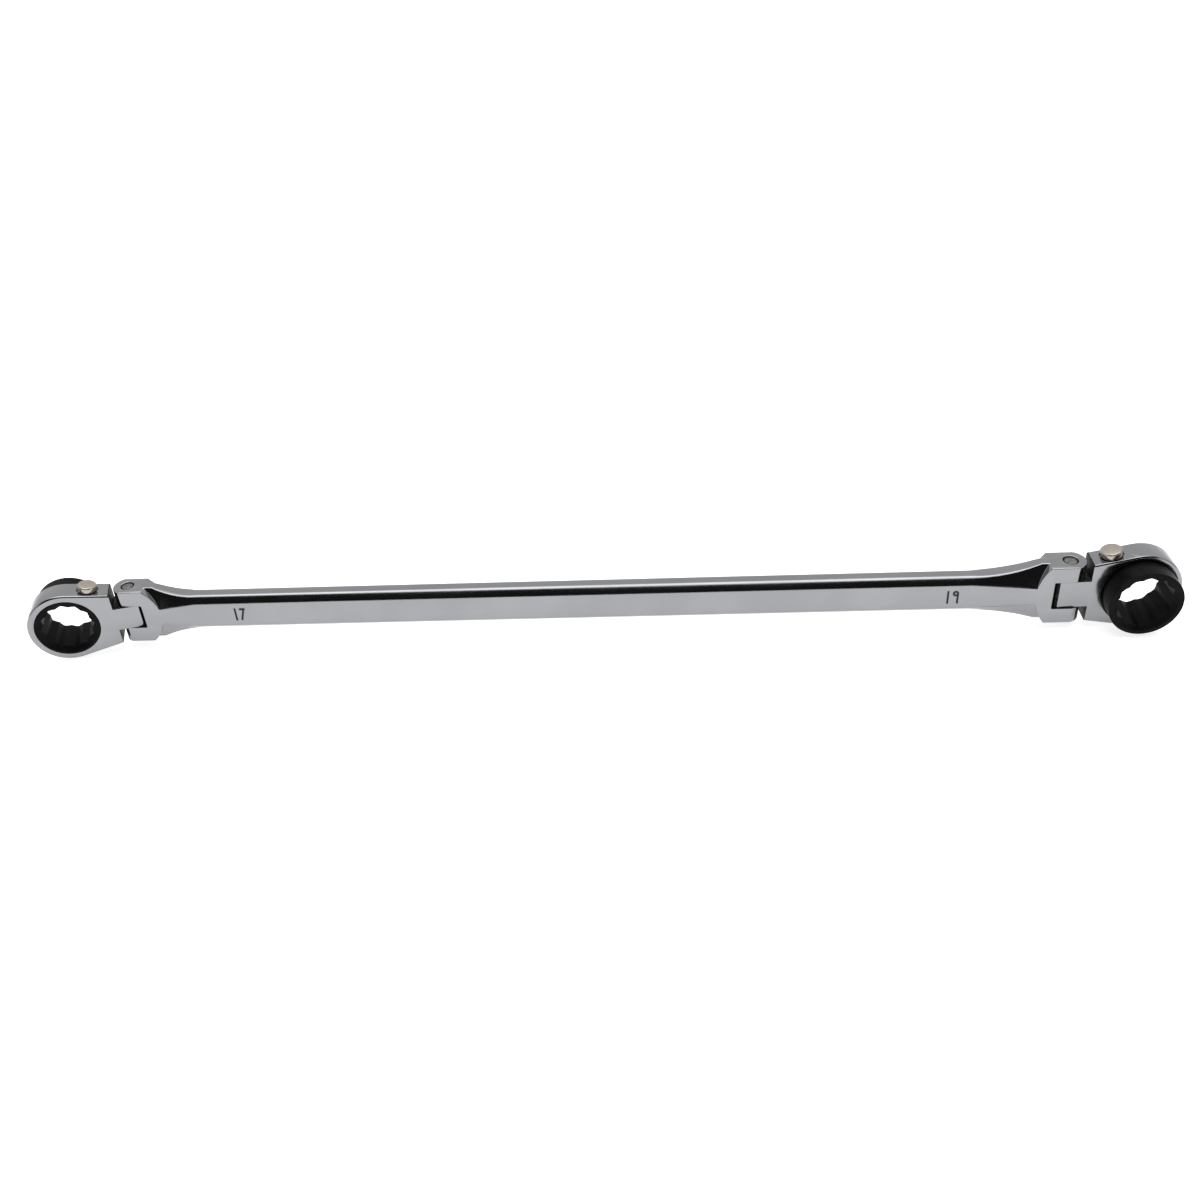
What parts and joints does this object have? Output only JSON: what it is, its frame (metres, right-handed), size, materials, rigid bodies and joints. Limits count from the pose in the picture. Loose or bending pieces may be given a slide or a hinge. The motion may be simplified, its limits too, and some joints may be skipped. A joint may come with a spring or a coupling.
{
  "type": "ratchet wrench",
  "caption": "Long double-ended ratchet wrench with flexing box heads, twelve-point drive rings that stand out to one side, and release buttons.",
  "frame": {"origin": "centre of the shank's flat back face", "axes": "+X along the wrench towards the 19 mm head, +Y out of the back face, +Z towards the edge with the release buttons"},
  "size_m": [0.4366, 0.0227, 0.0326],
  "materials": {
    "polished_chrome": "polished and chrome plated forging",
    "black_steel": "black oxide, satin",
    "clip_steel": "dark spring wire",
    "nickel": "warm nickel plate",
    "pin_steel": "ground steel",
    "tool_steel": "hardened steel",
    "spring_steel": "spring wire"
  },
  "bodies": {
    "shank": {"shank": "polished_chrome", "pivot_pin_17": "pin_steel", "flex_plunger_17": "pin_steel", "flex_spring_17": "spring_steel", "pivot_pin_19": "pin_steel", "flex_plunger_19": "pin_steel", "flex_spring_19": "spring_steel"},
    "head_17": {"head_housing_17": "polished_chrome", "retaining_clip_17": "clip_steel", "pawl_spring_17": "spring_steel", "button_spring_17": "spring_steel"},
    "ring_17": {"drive_ring_17": "black_steel"},
    "button_17": {"release_button_17": "nickel", "release_pin_17": "pin_steel"},
    "pawl_17": {"pawl_17": "tool_steel"},
    "head_19": {"head_housing_19": "polished_chrome", "retaining_clip_19": "clip_steel", "pawl_spring_19": "spring_steel", "button_spring_19": "spring_steel"},
    "ring_19": {"drive_ring_19": "black_steel"},
    "button_19": {"release_button_19": "nickel", "release_pin_19": "pin_steel"},
    "pawl_19": {"pawl_19": "tool_steel"}
  },
  "joints": [
    {"name": "flex_17", "type": "hinge", "parent": "shank", "child": "head_17", "pos_m": [-0.178, -0.0045, 0], "axis": [0, 0, 1], "range_deg": [-105, 75]},
    {"name": "ring_spin_17", "type": "hinge", "parent": "head_17", "child": "ring_17", "pos_m": [-0.20215, -0.01097, 0], "axis": [0.2588, -0.9659, 0], "continuous": true},
    {"name": "button_press_17", "type": "slide", "parent": "head_17", "child": "button_17", "axis": [0, 0, -1], "range_m": [0, 0.00055], "stiffness_N_per_m": 3000, "springref_m": -0.0008, "deforming": ["button_spring_17"]},
    {"name": "pawl_slide_17", "type": "slide", "parent": "head_17", "child": "pawl_17", "axis": [0.9659, 0.2588, 0], "range_m": [0, 0.00055], "deforming": ["pawl_spring_17"]},
    {"name": "flex_19", "type": "hinge", "parent": "shank", "child": "head_19", "pos_m": [0.178, -0.0045, 0], "axis": [0, 0, 1], "range_deg": [-92, 88]},
    {"name": "ring_spin_19", "type": "hinge", "parent": "head_19", "child": "ring_19", "pos_m": [0.20348, -0.00361, 0], "axis": [-0.0349, 0.9994, 0], "continuous": true},
    {"name": "button_press_19", "type": "slide", "parent": "head_19", "child": "button_19", "axis": [0, 0, -1], "range_m": [0, 0.00055], "stiffness_N_per_m": 3000, "springref_m": -0.0008, "deforming": ["button_spring_19"]},
    {"name": "pawl_slide_19", "type": "slide", "parent": "head_19", "child": "pawl_19", "axis": [-0.9994, -0.0349, 0], "range_m": [0, 0.00055], "deforming": ["pawl_spring_19"]}
  ],
  "couplings": [
    {"joint": "pawl_slide_17", "follows": "button_press_17", "ratio": 1},
    {"joint": "pawl_slide_19", "follows": "button_press_19", "ratio": 1}
  ]
}
